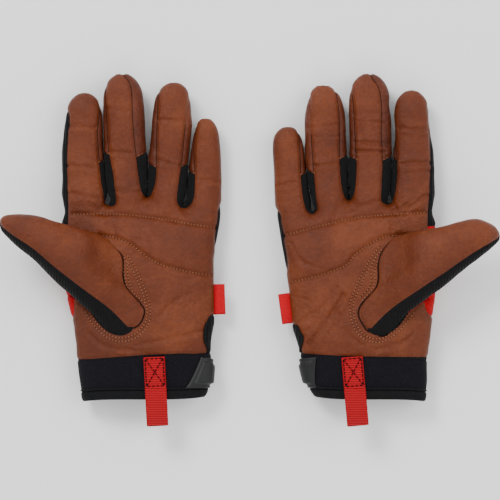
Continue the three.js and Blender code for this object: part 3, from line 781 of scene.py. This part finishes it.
def hand_pieces(glove):
    points, faces = hand_surface(glove)
    faces = outward(points, faces)
    leather_in, accent_in = leather_margin(glove), plan_margin(ACCENT, 2)
    hole_in = patch_margin(glove["thumb"]["gusset"])
    splits = np.array([f["split"] for f in glove["fingers"].values()], float)

    def above_split(p):
        return p[:, 1] - splits[finger_at(glove, p[:, 0])[0]]

    def below_seam(p):
        return back_seam(glove, p) - p[:, 2]

    def below_cuff(p):
        return CUFF_Y + 0.5 - 0.05 * p[:, 0] - p[:, 1]

    for value in (lambda p: p[:, 1] - HEM_TOP + 4, above_split, below_cuff, leather_in):
        points, faces = cut(points, faces, value)
    for value in (below_seam, accent_in, hole_in):
        points, faces = cut(points, faces, value)
    middle = points[faces].mean(axis=1)
    x, y, _ = middle.T
    kept = (y > HEM_TOP - 4) & (above_split(middle) < 0)
    cuff = below_cuff(middle) > 0
    hole = hole_in(middle) > 0
    on_leather = (leather_in(middle) > 0) & ~cuff & ~hole
    under = below_seam(middle) > 0
    on_accent = (accent_in(middle) > 0) & ~on_leather & ~cuff
    crotch = ~on_leather & ~under & ~cuff & ~hole & (y > 20) & (x > -50) & (x < 40)
    webs = np.array([knot[0] for knot in glove["web"][1:4]])
    nearest = np.argmin(np.abs(x[:, None] - webs), axis=1)
    back = ~on_leather & ~on_accent & ~crotch & ~hole & ~(cuff & ~under)

    def seam_distance(p):
        crossing = np.minimum.reduce([np.abs(f(p)) for f in (below_cuff, leather_in, hole_in)])
        return np.minimum(crossing, np.where(leather_in(p) < 0, np.abs(accent_in(p)), 9))

    moved = press(glove, points, faces, seam_distance)
    cuff_sink = 0.5 * np.sign(moved[:, 2] - 14)
    moved[:, 2] = np.where(below_cuff(points) > 0, moved[:, 2] - cuff_sink, moved[:, 2])
    normals = vertex_normals(moved, faces)
    panels = [("palm_leather_skin", on_leather, "leather", ["palm_leather", "palm_pad"]),
              ("back_skin", back, "knit", ["back_panel"]),
              ("thumb_side_skin", on_accent, "accent", ["thumb_side_panel"]),
              ("cuff_skin", cuff & ~under, "cuff", ["cuff_band"]),
              ("thumb_gusset", hole, "gusset", [])]
    for at, pair in enumerate(("ring_little", "middle_ring", "index_middle")):
        panels.append((f"{pair}_crotch", crotch & (nearest == at), "gusset", [f"{pair}_gusset"]))
    for name, chosen, material, nodes in panels:
        p, f, n = compact(moved, faces[chosen & kept], normals)
        piece = make(glove, name, p, f, material, "hand", nodes, n)


def finger_pieces(glove, finger):
    spec = glove["fingers"][finger]
    points, faces = finger_surface(glove, finger)
    faces = outward(points, faces)
    leather_in = leather_margin(glove)
    outer_start, thumb_start = np.broadcast_to(glove["fourchette_start"][finger], 2)

    def middle_x(y):
        low, high, _, _ = finger_shape(glove, finger, y)
        return (low + high) / 2

    def above_split(p):
        return p[:, 1] - spec["split"]

    def below_seam(p):
        return back_seam(glove, p) - p[:, 2]

    def thumb_side(p):
        return p[:, 0] - middle_x(p[:, 1])

    def on_fourchette(p):
        across = thumb_side(p)
        start = outer_start + (thumb_start - outer_start) * np.clip(across / 8 + 0.5, 0, 1)
        return p[:, 1] - start - FOURCHETTE_SLANT * (np.abs(across) - FOURCHETTE_MIDDLE)

    for value in (above_split, leather_in, below_seam, on_fourchette):
        points, faces = cut(points, faces, value)
    middle = points[faces].mean(axis=1)
    kept = above_split(middle) > 0
    front = leather_in(middle) > 0
    under = below_seam(middle) > 0
    inner = thumb_side(middle) > 0
    sides = ~front & ~under
    if finger == "index":
        sides &= ~inner
    back = ~front & ~sides
    upper = on_fourchette(middle) > 0

    def seam_distance(p):
        edge = np.abs(leather_in(p))
        side = (leather_in(p) < 0) & (below_seam(p) < 0) & ((finger != "index") | (thumb_side(p) < 0))
        edge = np.minimum(edge, np.where(side, np.abs(on_fourchette(p)), 9))
        return np.minimum(edge, np.abs(below_seam(p)))

    moved = press(glove, points, faces, seam_distance)
    normals = vertex_normals(moved, faces)
    nodes = {"front": front, "back": back}
    if finger != "index":
        nodes["fourchette_thumb_side"] = sides & inner & upper
    if finger != "little":
        nodes["fourchette_outer"] = sides & ~inner & upper
    materials = dict(front="leather", back="knit")
    # Fourchettes take the darker goatskin copy, which paints shade on the finger sides.
    panels = [(key, chosen, materials.get(key, "fourchette")) for key, chosen in nodes.items()]
    panels += [("side_knit_thumb_side", sides & inner & ~upper, "gusset"),
               ("side_knit_outer", sides & ~inner & ~upper, "gusset")]
    for key, chosen, material in panels:
        chosen = chosen & kept
        if not chosen.any():
            continue
        p, f, n = compact(moved, faces[chosen], normals)
        stands_for = [f"{finger}_{key}"] if key in nodes else []
        piece = make(glove, f"{finger}_{key}_skin", p, f, material, None, stands_for, n)
        blend_finger(glove, finger, piece)


def blend_finger(glove, finger, piece):
    """Bakes a piece's transform into its mesh. The stretch of the finger where it would bend from the
    hand is worked out but not applied.
    """
    spec = glove["fingers"][finger]
    rows = np.array(spec["rows"], float)
    base_x = (rows[1, 1] + rows[1, 2]) / 2
    low, high = (base_x, spec["split"], 10), (base_x, spec["split"] + BLEND_LENGTH, 10)
    start, end = to_row(glove, [low, high])
    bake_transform(piece)


# ---------------------------------------------------------------- thumb


def palm_top(glove, x, y):
    """Height of the palm's surface."""
    centre, depth = hand_middle(y)
    low, high = hand_edges(glove, y)
    across = np.clip(np.abs((x - (low + high) / 2) / ((high - low) / 2)), 0, 1)
    return centre + depth * (1 - across**HAND_POWER) ** (1 / HAND_POWER)


def thumb_surface(glove, rows=84, columns=52):
    """Rows run from the seam in the palm to the tip. Columns go once round: over the top from the
    upper edge to the lower edge, then back underneath."""
    t = glove["thumb"]
    upper = resample(spline(t["upper"]), rows)
    lower = resample(spline(t["lower"]), rows)
    base = resample(spline(t["base"]), 200)
    angle = np.linspace(0, 2 * np.pi, columns, endpoint=False)
    across = (1 - np.cos(angle)) / 2
    rise = np.sin(angle)
    at = np.linspace(0, 200, 201)
    foot = np.stack([np.interp(across * 200, at, base[:, k]) for k in range(2)], axis=1)
    foot = foot - (upper[0] + (lower[0] - upper[0]) * across[:, None])
    points = []
    for i in range(rows + 1):
        share = i / rows
        plan = upper[i] + (lower[i] - upper[i]) * across[:, None]
        plan = plan + foot * np.clip(1 - share / 0.42, 0, 1) ** 1.6
        width = np.linalg.norm(upper[i] - lower[i])
        size = min(1.0, (width / 21) ** 0.8)
        middle = np.interp(share, [0, 0.25, 0.5, 0.8, 1], [30, 35, 38.5, 40, 40])
        deep = np.interp(share, [0, 0.3, 0.55, 0.85, 1], [8, 12.5, 12.5, 10.2, 9]) * size
        free = smooth_step(share / 0.30)
        z = middle + deep * np.sign(rise) * np.abs(rise) ** 0.8
        ledge = 1.9 * np.clip(i / 3, 0, 1) ** 0.5 - 0.8
        ground = palm_top(glove, plan[:, 0], plan[:, 1]) + np.where(rise >= 0, ledge, -4)
        points.append(np.column_stack([plan, ground + (z - ground) * free]))
    return np.vstack(points), ring_quads(rows + 1, columns), across, rise


def thumb_pieces(glove):
    points, quads, across, rise = thumb_surface(glove)
    columns = len(across)
    rows = len(quads) // columns
    faces = outward(points, np.vstack([quads[:, [0, 1, 2]], quads[:, [0, 2, 3]]]))
    quads = outward(points, quads)
    n = vertex_normals(points, faces)
    edge = int(np.argmin(np.abs(across - THUMB_STITCH_SIDE) + (rise < 0)))
    under = int(np.argmin(np.abs(across - 0.2) + (rise > 0)))
    rings = points.reshape(rows + 1, columns, 3)
    gaps = [np.linalg.norm(rings - rings[:, k:k + 1], axis=2).reshape(-1) for k in (edge, under)]
    near = np.minimum(*gaps)
    move = 0.35 * noise(points, 30, 12) + 0.16 * noise(points, 12, 13) + groove(near, 0.8, 1.5)
    moved = points + n * move[:, None]
    normals = vertex_normals(moved, faces)
    column = np.tile(np.arange(columns), rows)
    front = (column < edge) | (column >= under)
    upper = np.array(glove["thumb"]["upper"])
    direction = upper[-1] - THUMB_ROOT
    direction = direction / np.linalg.norm(direction)
    start, end = to_row(glove, [(*upper[0], 30), (*(upper[0] + direction * THUMB_BLEND), 30)])
    for name, chosen, material in (("thumb_front", front, "leather"), ("thumb_back", ~front, "knit")):
        p, f, turned = compact(moved, quads[chosen], normals)
        piece = make(glove, f"{name}_skin", p, f, material, None, [name], turned)
        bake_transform(piece)


# ---------------------------------------------------------------- cuff, webbing and closure


def hand_wall(glove, y, angle, out):
    """Points on the hand's section at y, out by a distance; angle 0 is the thumb side, 90 the palm."""
    y, angle, out = np.broadcast_arrays(np.asarray(y, float), np.radians(angle), np.asarray(out, float))
    centre, depth = hand_middle(y)
    low, high = hand_edges(glove, y)
    power = 2 / CUFF_POWER
    c, s = np.cos(angle), np.sin(angle)
    x = (low + high) / 2 + ((high - low) / 2 + out) * np.sign(c) * np.abs(c) ** power
    z = centre + (depth + out) * np.sign(s) * np.abs(s) ** power
    return np.stack([x, y, z], axis=-1)


def slab(glove, name, wall, rows, columns, thickness, material, ease, body, node):
    """A thin closed pad with rounded edges. wall(s, t, out) gives its points, out from its seat."""
    s, t = np.meshgrid(np.linspace(0, 1, rows + 1), np.linspace(0, 1, columns + 1), indexing="ij")
    round_off = (1 - np.abs(2 * s - 1) ** ease) * (1 - np.abs(2 * t - 1) ** (ease * 1.6))
    high = thickness(s, t) if callable(thickness) else thickness
    top = wall(s, t, high * np.clip(round_off, 0, 1) ** 0.35).reshape(-1, 3)
    bottom = wall(s, t, 0 * s).reshape(-1, 3)
    index = np.arange(len(top)).reshape(rows + 1, columns + 1)
    corners = (index[:-1, :-1], index[:-1, 1:], index[1:, 1:], index[1:, :-1])
    sheet = np.stack(corners, axis=-1).reshape(-1, 4)
    points = np.vstack([top, bottom])
    faces = outward(points, np.vstack([sheet, sheet[:, ::-1] + len(top)]))
    return make(glove, name, points, faces, material, body, [node])


def hem(glove, columns=150, around=12):
    """The bound edge of the wrist: a flattened roll, with a raised cord round the cuff just above its
    top.
    """
    angle = np.linspace(0, 360, columns, endpoint=False)
    turn = np.linspace(0, 2 * np.pi, around, endpoint=False)
    half = (HEM_TOP - HEM_BOTTOM) / 2 + 0.3
    rings = []
    for a in turn:
        y = (HEM_TOP + HEM_BOTTOM) / 2 + half * np.sign(np.cos(a)) * abs(np.cos(a)) ** 0.6
        y = y - HEM_SLANT * np.cos(np.radians(angle)) ** 3
        wave = 0.12 * np.sin(np.radians(angle * 40))
        rings.append(hand_wall(glove, y, angle, 1.5 * np.sin(a) + wave * (np.sin(a) > 0) - 0.3))
    points = np.stack(rings).reshape(-1, 3)
    quads = outward(points, ring_quads(around, columns, closed=True))
    points[:, 2] = np.maximum(points[:, 2], TABLE_GAP)
    make(glove, "hem_binding", points, quads, "binding", "hand", ["cuff_hem"])
    round_it = np.linspace(0, 360, 181)
    slanted = HEM_TOP + 1.6 - HEM_SLANT * np.cos(np.radians(round_it)) ** 3
    ridge = hand_wall(glove, slanted, round_it, 0.35)
    ridge[:, 2] = np.maximum(ridge[:, 2], 0.75)
    tube(glove, "hem_ridge", ridge, 0.65, "binding", "hand")


def lining(glove, columns=96):
    """The inside of the wrist and hand, seen through the wrist opening, with its end sewn shut."""
    angle = np.linspace(0, 360, columns, endpoint=False)
    levels = [HEM_BOTTOM + 1, -104, -90, -75, -60, -40, -20, 0, 12]
    rings = [hand_wall(glove, y + 0 * angle, angle, -1.9 - 0.05 * (y + 110)) for y in levels]
    points = np.stack(rings).reshape(-1, 3)
    quads = ring_quads(len(levels), columns)[:, [0, 3, 2, 1]]
    end = np.arange(len(points) - columns, len(points))
    make(glove, "lining", points, [*quads, end], "lining", "hand")


def closure(glove):
    """The moulded tab on the wrist's outer edge, and the strap across its back."""
    width = np.interp(-92, [h[0] for h in glove["hand"]], [h[2] - h[1] for h in glove["hand"]])

    def tab_angle(reach):
        return 180 - math.degrees(math.acos(np.clip(1 - 2 * reach / width, -1, 1) ** 1.3))

    tab = glove["tab"]

    def tab_wall(s, t, out):
        """s runs up the wrist, t from the slanted leading edge round to the outer edge."""
        lead = tab_angle(tab["bottom"]) * (1 - s) + tab_angle(tab["top"]) * s
        y = -102.6 + (23.2 - 1.5 * t) * s
        notch = 1.1 * np.exp(-(((s - 0.82) / 0.05) ** 2)) + 1.1 * np.exp(-(((s - 0.1) / 0.05) ** 2))
        return hand_wall(glove, y, lead + (180 - lead) * t, out + 0.9 - notch * (t > 0.6))

    def tab_thickness(s, t):
        inset = np.minimum.reduce([s, 1 - s, t * 1.4]) / 0.16
        return 1.3 + 1.4 * smooth_step((inset - 0.7) / 0.5)

    def strap_wall(s, t, out):
        return hand_wall(glove, -101 + 18 * s, 196 + 104 * t, out + 0.2)

    slab(glove, "moulded_tab", tab_wall, 48, 44, tab_thickness, "rubber", 14, "tab", "closure_tab")
    slab(glove, "wrist_strap", strap_wall, 16, 64, 1.5, "strap", 12, "hand", "closure_strap")


def webbing_frame(glove):
    """Start of the webbing on the cuff, its direction in plan and its crosswise direction."""
    lean = math.radians(glove["loop_tilt"])
    along = np.array([-math.sin(lean), -math.cos(lean), 0])
    across = np.array([-along[1], along[0], 0])
    x, y = glove["loop_x"], WEBBING["top"]
    z = float(palm_top(glove, np.array([x]), np.array([-90.0]))[0])
    return np.array([x, y, z]), along, across


def webbing_patch(glove, start, along, across):
    """The end of the webbing that is sewn to the cuff."""

    def wall(s, t, out):
        down = s[..., None] * WEBBING["patch"] * along
        base = start + down + (t - 0.5)[..., None] * WEBBING["width"] * across
        sag = palm_top(glove, base[..., 0], base[..., 1]) - start[2]
        base[..., 2] += sag + 0.2 + out
        return base

    slab(glove, "webbing_patch", wall, 40, 20, 2.0, "webbing", 16, "hand", "loop_anchor")


def loop_layer(start, along, across, inset, turn, across_at):
    """One face of the folded webbing: a teardrop ring swept across the webbing's width."""
    reach = (1 - np.cos(turn)) / 2
    height = (4.0 - inset) * np.sin(turn) * np.sqrt(reach)
    length = inset * 1.6 + (WEBBING["loop"] - inset - inset * 1.6) * reach
    origin = start + WEBBING["loop_start"] * along + np.array([0, 0, 1.4])
    ring = origin + length[:, None] * along + height[:, None] * np.array([0, 0, 1.0])
    edge = 0.35 * (np.abs(across_at) * 2) ** 10
    sheet = ring[None] + across_at[:, None, None] * WEBBING["width"] * across
    pull = (origin + 14 * along - ring)[None] / 14 * (1 if inset == 0 else -1)
    return (sheet + edge[:, None, None] * pull).reshape(-1, 3)


def pull_loop(glove):
    start, along, across = webbing_frame(glove)
    webbing_patch(glove, start, along, across)
    turn = np.linspace(0, 2 * np.pi, 72, endpoint=False)
    across_at = np.linspace(-0.5, 0.5, 15)
    layers = [loop_layer(start, along, across, inset, turn, across_at) for inset in (0.0, 1.15)]
    points = np.vstack(layers)
    n, m = len(across_at), len(turn)
    ring = ring_quads(n, m)
    low, high = np.arange(m), np.arange((n - 1) * m, n * m)
    rim = np.stack([low, np.roll(low, -1), np.roll(low, -1) + n * m, low + n * m], -1)
    far_rim = np.stack([high, high + n * m, np.roll(high, -1) + n * m, np.roll(high, -1)], -1)
    faces = outward(points, np.vstack([ring, ring[:, ::-1] + n * m, rim[:, ::-1], far_rim[:, ::-1]]))
    piece = make(glove, "webbing_loop", points, faces, "webbing", "loop", ["pull_loop"])
    box_stitch(glove, start, along, across)


def box_stitch(glove, start, along, across):
    """A sewn box with a cross in it, on the webbing patch."""
    top, bottom, half = 1.2, 21.5, 6.6
    places = ((top, -half), (top, half), (bottom, half), (bottom, -half))
    corners = [start + along * u + across * v for u, v in places]
    lines = [(0, 1), (1, 2), (2, 3), (3, 0), (0, 2), (1, 3)]
    rows = [resample(np.array([corners[a], corners[b]]), 24)[:, :2] for a, b in lines]

    def seat(x, y):
        return palm_top(glove, x, y) + 2.2

    stitch_rows(glove, "box_stitch", rows, seat, "dark_thread", "hand", 2.6, 0.42, 0.25)


def label(glove):
    """The plain flag sewn into the little-finger edge."""
    y = glove["flag_y"]
    edge = float(smooth_table(glove["hand"], 1, y))
    z = float(hand_middle(y)[0])
    lean = math.radians(glove["flag_tilt"])
    out = np.array([-math.cos(lean), -math.sin(lean), 0])
    up = np.array([-math.sin(lean), math.cos(lean), 0])

    def wall(s, t, lift):
        base = np.array([edge + 1.2, y, z]) + t[..., None] * 9.6 * out + (s - 0.5)[..., None] * 22.5 * up
        base[..., 2] += 0.5 * np.sin(s * 3.1) * t + lift - 0.5
        return base

    slab(glove, "plain_label", wall, 30, 12, 1.1, "label", 12, "hand", "label_flag")


# ---------------------------------------------------------------- stitching


def capsule():
    """A short stitch with tapered ends along X, of half length and radius 1, with few faces."""
    around = 6
    points = []
    for x, r in ((-0.82, 0.62), (-0.4, 1.0), (0.4, 1.0), (0.82, 0.62)):
        for k in range(around):
            a = 2 * math.pi * k / around
            points.append((x, r * math.cos(a), r * math.sin(a)))
    ends = [np.arange(around)[::-1], np.arange(len(points) - around, len(points))]
    return np.array(points), [*ring_quads(4, around), *ends]


def stitch_rows(glove, name, rows, seat, material, body, length=1.6, radius=0.42, gap=0.8, between=False):
    """Stitches laid along plan curves, each lying on seat(x, y), joined in one mesh. They fill the
    middles of the steps along each curve, or where "between" is true, the joins."""
    unit, unit_faces = capsule()
    points, faces = [], []
    for row in rows:
        count = max(1, int(path_length(row) / (length + gap)))
        path = resample(row, count)
        middles = path[:-1] if between else (path[:-1] + path[1:]) / 2
        steps = path[1:] - path[:-1]
        steps = steps / np.linalg.norm(steps, axis=1, keepdims=True)
        heights = seat(middles[:, 0], middles[:, 1])
        ahead = seat(middles[:, 0] + steps[:, 0], middles[:, 1] + steps[:, 1])
        for m, d, h, g in zip(middles, steps, heights, ahead):
            if not (np.isfinite(h) and np.isfinite(g)) or abs(g - h) > 1.5:
                continue
            axis = np.array([d[0], d[1], g - h])
            axis /= np.linalg.norm(axis)
            side = np.array([-d[1], d[0], 0])
            up = np.cross(axis, side)
            local = unit[:, :1] * length / 2 * axis
            local = local + unit[:, 1:2] * radius * side + unit[:, 2:] * radius * up
            faces += [tuple(i + len(points) * len(unit) for i in f) for f in unit_faces]
            points.append(np.array([m[0], m[1], h + 0.08]) + local)
    if not points:
        return None
    return make(glove, name, np.vstack(points), faces, material, body)


def seat_on(glove, *names):
    """Height of the named pieces' surface under each plan point, in the glove's frame."""
    graph = bpy.context.evaluated_depsgraph_get()
    trees = [BVHTree.FromObject(PIECES[f"{glove['name']}_{name}"], graph) for name in names]

    def seat(x, y):
        heights = np.full(len(x), np.nan)
        for i, p in enumerate(to_row(glove, np.column_stack([x, y, 0 * x + 100]))):
            hits = [tree.ray_cast(Vector(p), Vector((0, 0, -1)))[0] for tree in trees]
            found = [hit.z / MM - SHIFT[2] for hit in hits if hit is not None]
            heights[i] = max(found) if found else np.nan
        return heights

    return seat


def finger_seat(glove, finger):
    names = [f"{finger}_{panel}_skin" for panel in FINGER_PANELS]
    return seat_on(glove, *[name for name in names if f"{glove['name']}_{name}" in PIECES])


def beside(curve, distance):
    """The same curve moved sideways."""
    step = np.gradient(curve, axis=0)
    step /= np.linalg.norm(step, axis=1, keepdims=True)
    return curve + distance * np.column_stack([-step[:, 1], step[:, 0]])


def sewing(glove):
    """The visible stitches of the palm and of the fourchettes' lower edges."""
    bpy.context.view_layer.update()
    seat = seat_on(glove, "palm_leather_skin")
    rows = [spline(glove["upper_row"]), spline(glove["lower_row"])]
    for key in ("hole_outer", "hole_inner"):
        curve = spline(glove[key])
        rows += [beside(curve, 1.3), beside(curve, -1.3)]
    stitch_rows(glove, "palm_stitches", rows, seat, "tan_thread", "hand")
    # Dark dots at the needle holes between the stitches: painted shade in the holes.
    stitch_rows(glove, "palm_needle_hole_shade", rows, seat, "brown_thread_and_hole_shade", "hand", 0.6, 0.34, 1.8, True)
    for finger, paths in fourchette_edges(glove).items():
        on_finger = finger_seat(glove, finger)
        name = f"{finger}_edge_stitches"
        piece = stitch_rows(glove, name, paths, on_finger, "tan_thread", None, 1.9, 0.3, 0.7)
        if piece:
            blend_finger(glove, finger, piece)


def fourchette_edges(glove):
    """Plan curves of the turned and stitched lower edge of each fourchette."""
    found = {}
    for finger in glove["fingers"]:
        starts = np.broadcast_to(glove["fourchette_start"][finger], 2).astype(float)
        found[finger] = []
        for s, start, without in ((-1, starts[0], "little"), (1, starts[1], "index")):
            if finger == without:
                continue
            low, high, _, _ = (float(v) for v in finger_shape(glove, finger, start))
            middle, half = (low + high) / 2, (high - low) / 2
            reach = np.linspace(half * 0.55, half * 0.99, 12)
            rise = start + 0.9 + FOURCHETTE_SLANT * (reach - FOURCHETTE_MIDDLE)
            found[finger].append(np.column_stack([middle + s * reach, rise]))
    return found


# ---------------------------------------------------------------- seam lines and bindings


def tube(glove, name, path, radius, material, body=None, sides=8):
    """A round cord along a path of (x, y, z) points, closed at both ends."""
    step = np.gradient(path, axis=0)
    step /= np.maximum(np.linalg.norm(step, axis=1, keepdims=True), 1e-9)
    side = np.cross(step, [0, 0, 1.0])
    side /= np.maximum(np.linalg.norm(side, axis=1, keepdims=True), 1e-9)
    up = np.cross(side, step)
    turn = np.linspace(0, 2 * np.pi, sides, endpoint=False)[:, None, None]
    rings = path + radius * (np.cos(turn) * side + np.sin(turn) * up)
    points = rings.transpose(1, 0, 2).reshape(-1, 3)
    ends = [np.arange(sides)[::-1], np.arange(len(points) - sides, len(points))]
    return make(glove, name, points, [*ring_quads(len(path), sides), *ends], material, body)


def seated_path(path, seat, lift):
    """The unbroken runs of a plan path that lie on the surface, as points in space."""
    z = seat(path[:, 0], path[:, 1])
    good = np.isfinite(z)
    good[1:] &= np.abs(np.diff(np.nan_to_num(z))) < 2.0
    return runs_of(np.column_stack([path, z + lift]), good, 5)


def seam_lines(glove):
    """Dark lines where the leather meets the fourchettes and the gussets, and round the thumb's root."""
    outline = spline(glove["leather"] + glove["leather"][:1], 1.2)
    finger, names = finger_at(glove, outline[:, 0])
    for k, name in enumerate(names):
        spec = glove["fingers"][name]
        y = outline[:, 1]
        keep = (finger == k) & (y > spec["split"] + 0.5) & (y < spec["tip"][1] - 1.5)
        seat = finger_seat(glove, name)
        for number, run in enumerate(runs_of(outline, keep)):
            for piece_number, path in enumerate(seated_path(run, seat, -0.12)):
                piece = tube(glove, f"{name}_seam_{number}_{piece_number}", path, 0.3, "brown_thread_and_hole_shade")
                blend_finger(glove, name, piece)
    palm = seat_on(glove, "palm_leather_skin")
    base = resample(spline(glove["thumb"]["base"]), 110)
    for number, path in enumerate(seated_path(base, palm, 0.25)):
        tube(glove, f"thumb_root_seam_{number}", path, 0.5, "brown_thread_and_hole_shade", "hand")
    near = (outline[:, 1] < -53) & (outline[:, 1] > -78.5) & (outline[:, 0] < -35)
    on_hand = seat_on(glove, "palm_leather_skin", "back_skin")
    for number, run in enumerate(runs_of(outline, near)):
        for path in seated_path(run, on_hand, 0.3):
            tube(glove, f"notch_binding_{number}", path, 1.1, "binding", "hand", 12)


def runs_of(path, keep, least=6):
    """The unbroken stretches of a path where keep is true, with at least so many points."""
    cuts = np.flatnonzero(np.diff(keep.astype(int)) != 0) + 1
    parts = np.split(np.arange(len(path)), cuts)
    return [path[p] for p in parts if keep[p[0]] and len(p) >= least]


# ---------------------------------------------------------------- stage


def stage():
    bpy.ops.mesh.primitive_plane_add(size=14, location=(0, 0, -0.0004))
    floor = bpy.context.object
    floor.name = "floor"
    s = Shader("floor", 0.9, specular=0.1)
    s.paint(s.colours(s.noise(2), (0.3, (0.93, 0.93, 0.93)), (0.7, (0.95, 0.95, 0.95))))
    floor.data.materials.append(s.material)
    camera = bpy.data.objects.new("camera", bpy.data.cameras.new("camera"))
    bpy.context.collection.objects.link(camera)
    camera.location = (0, 0, CAMERA_HEIGHT)
    camera.data.lens = SENSOR_WIDTH * 3.0 / VIEW_WIDTH
    bpy.context.scene.camera = camera
    light("key", (-1.2, 1.7, 2.2), 1.0, 62)
    light("fill", (1.9, 0.6, 2.0), 1.6, 26)
    light("low", (0.2, -1.9, 1.6), 1.8, 12)
    world = bpy.data.worlds.new("world")
    world.use_nodes = True
    world.node_tree.nodes["Background"].inputs["Color"].default_value = (1, 1, 1, 1)
    world.node_tree.nodes["Background"].inputs["Strength"].default_value = 1.0
    bpy.context.scene.world = world


def light(name, place, size, power):
    data = bpy.data.lights.new(name, "AREA")
    data.size = size
    data.energy = power
    lamp = bpy.data.objects.new(name, data)
    bpy.context.collection.objects.link(lamp)
    lamp.location = place
    lamp.rotation_euler = (-Vector(place)).to_track_quat("-Z", "Y").to_euler()


stage()
for pair_half in GLOVES:
    hand_pieces(pair_half)
    for finger_name in pair_half["fingers"]:
        finger_pieces(pair_half, finger_name)
    thumb_pieces(pair_half)
    hem(pair_half)
    lining(pair_half)
    closure(pair_half)
    pull_loop(pair_half)
    label(pair_half)
    sewing(pair_half)
    seam_lines(pair_half)
